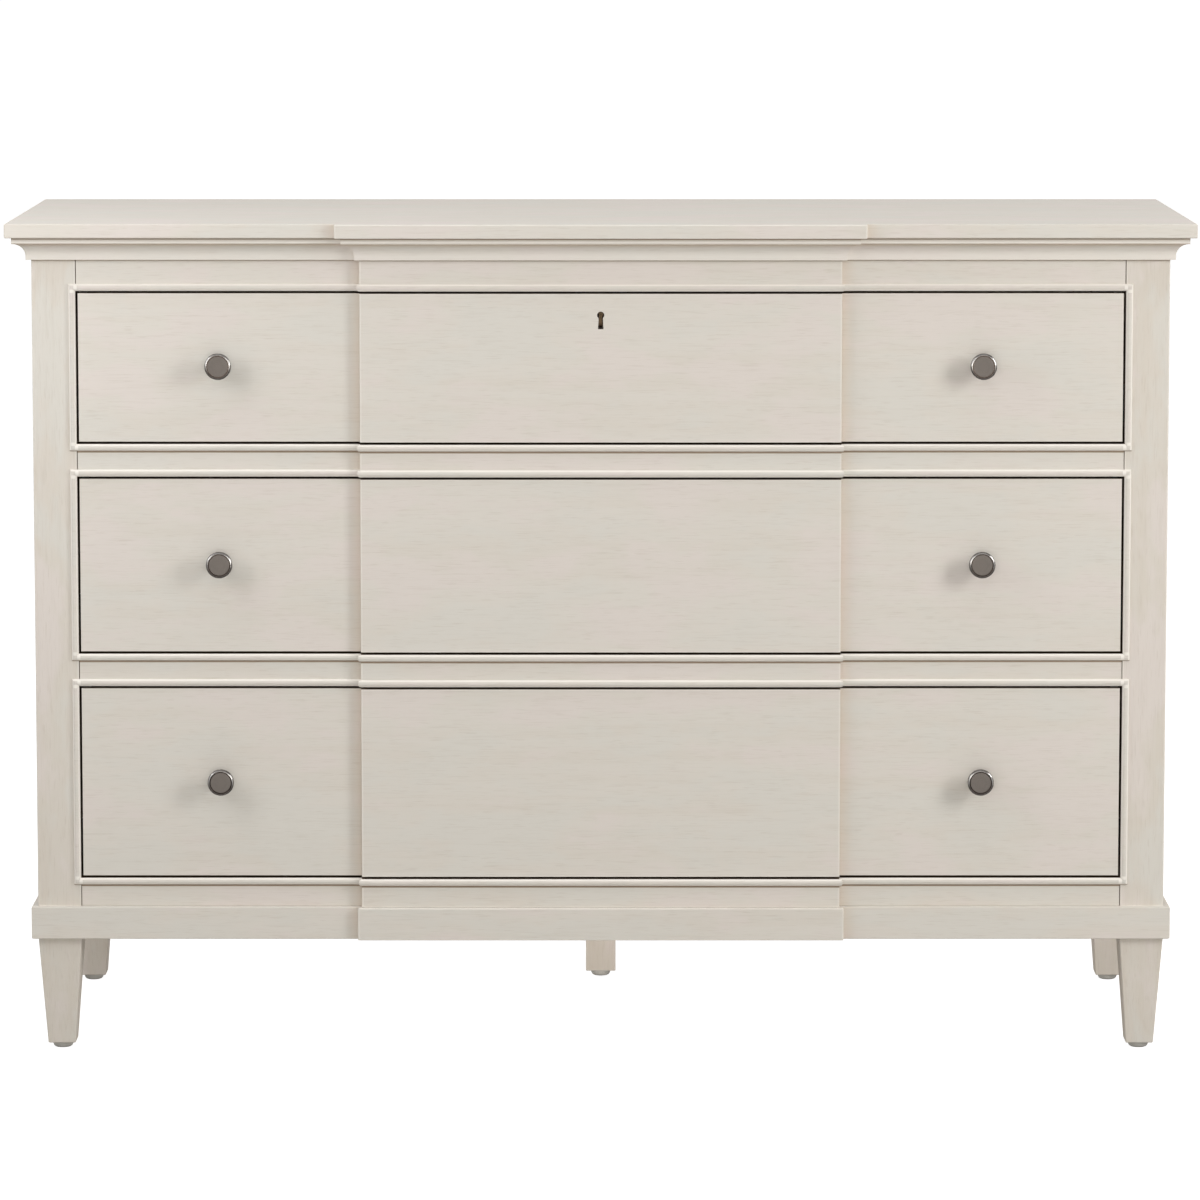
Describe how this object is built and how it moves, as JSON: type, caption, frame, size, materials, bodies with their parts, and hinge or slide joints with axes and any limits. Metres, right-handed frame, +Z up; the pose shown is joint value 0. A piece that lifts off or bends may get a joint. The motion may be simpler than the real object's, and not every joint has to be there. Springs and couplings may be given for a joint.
{
  "type": "chest of drawers",
  "caption": "Wide, low chest of drawers with a breakfront, cove under the top, beaded drawer openings, round knobs, a lock and tapered legs.",
  "frame": {"origin": "on the floor, under the middle of the chest's overall width and depth", "axes": "+X to the right as seen from the front, +Y to the back, +Z up"},
  "size_m": [1.3716, 0.4826, 0.9716],
  "materials": {
    "washed_wood": "cream washed finish over fine straight grain, low sheen",
    "drawer_wood": "clear satin lacquer on pale hardwood",
    "plain_board": "plain board, thinly sealed",
    "pewter": "brushed pewter face inside a polished rim",
    "zinc_steel": "bright zinc plate",
    "aged_brass": "darkened brass",
    "glide_plastic": "pale grey moulded plastic"
  },
  "bodies": {
    "case": {"top_panel": "washed_wood", "cove_moulding_front": "washed_wood", "cove_moulding_left": "washed_wood", "cove_moulding_right": "washed_wood", "front_post_left": "washed_wood", "front_post_right": "washed_wood", "rear_post_left": "washed_wood", "rear_post_right": "washed_wood", "side_panel_left": "washed_wood", "side_panel_right": "washed_wood", "top_rail": "washed_wood", "upper_divider_rail": "washed_wood", "lower_divider_rail": "washed_wood", "bottom_rail": "washed_wood", "upper_bead_frame": "washed_wood", "middle_bead_frame": "washed_wood", "lower_bead_frame": "washed_wood", "base_moulding_front": "washed_wood", "base_moulding_left": "washed_wood", "base_moulding_right": "washed_wood", "leg_front_left": "washed_wood", "leg_front_right": "washed_wood", "leg_rear_left": "washed_wood", "leg_rear_right": "washed_wood", "centre_foot": "washed_wood", "case_top_panel": "plain_board", "upper_dust_panel": "plain_board", "lower_dust_panel": "plain_board", "bottom_panel": "plain_board", "back_panel": "plain_board", "base_rail_back": "plain_board", "base_corner_blocks": "plain_board", "case_slide_members": "zinc_steel", "back_screws": "zinc_steel", "lock_strike_plate": "zinc_steel", "glides": "glide_plastic"},
    "upper_drawer": {"upper_drawer_front": "washed_wood", "upper_drawer_sides": "drawer_wood", "upper_drawer_back": "drawer_wood", "upper_drawer_bottom": "drawer_wood", "upper_drawer_knobs": "pewter", "upper_drawer_slide_members": "zinc_steel", "lock_body": "zinc_steel", "keyhole_liner": "aged_brass"},
    "upper_carriages": {"upper_slide_carriages": "zinc_steel"},
    "middle_drawer": {"middle_drawer_front": "washed_wood", "middle_drawer_sides": "drawer_wood", "middle_drawer_back": "drawer_wood", "middle_drawer_bottom": "drawer_wood", "middle_drawer_knobs": "pewter", "middle_drawer_slide_members": "zinc_steel"},
    "middle_carriages": {"middle_slide_carriages": "zinc_steel"},
    "lower_drawer": {"lower_drawer_front": "washed_wood", "lower_drawer_sides": "drawer_wood", "lower_drawer_back": "drawer_wood", "lower_drawer_bottom": "drawer_wood", "lower_drawer_knobs": "pewter", "lower_drawer_slide_members": "zinc_steel"},
    "lower_carriages": {"lower_slide_carriages": "zinc_steel"},
    "lock_bolt": {"lock_bolt": "zinc_steel"}
  },
  "joints": [
    {"name": "upper_drawer_slide", "type": "slide", "parent": "case", "child": "upper_drawer", "axis": [0, -1, 0], "range_m": [0, 0.38]},
    {"name": "upper_carriage_slide", "type": "slide", "parent": "case", "child": "upper_carriages", "axis": [0, -1, 0], "range_m": [0, 0.19]},
    {"name": "middle_drawer_slide", "type": "slide", "parent": "case", "child": "middle_drawer", "axis": [0, -1, 0], "range_m": [0, 0.38]},
    {"name": "middle_carriage_slide", "type": "slide", "parent": "case", "child": "middle_carriages", "axis": [0, -1, 0], "range_m": [0, 0.19]},
    {"name": "lower_drawer_slide", "type": "slide", "parent": "case", "child": "lower_drawer", "axis": [0, -1, 0], "range_m": [0, 0.38]},
    {"name": "lower_carriage_slide", "type": "slide", "parent": "case", "child": "lower_carriages", "axis": [0, -1, 0], "range_m": [0, 0.19]},
    {"name": "lock_bolt_slide", "type": "slide", "parent": "upper_drawer", "child": "lock_bolt", "axis": [0, 0, 1], "range_m": [0, 0.008]}
  ],
  "couplings": [
    {"joint": "upper_carriage_slide", "follows": "upper_drawer_slide", "ratio": 0.5},
    {"joint": "middle_carriage_slide", "follows": "middle_drawer_slide", "ratio": 0.5},
    {"joint": "lower_carriage_slide", "follows": "lower_drawer_slide", "ratio": 0.5}
  ]
}
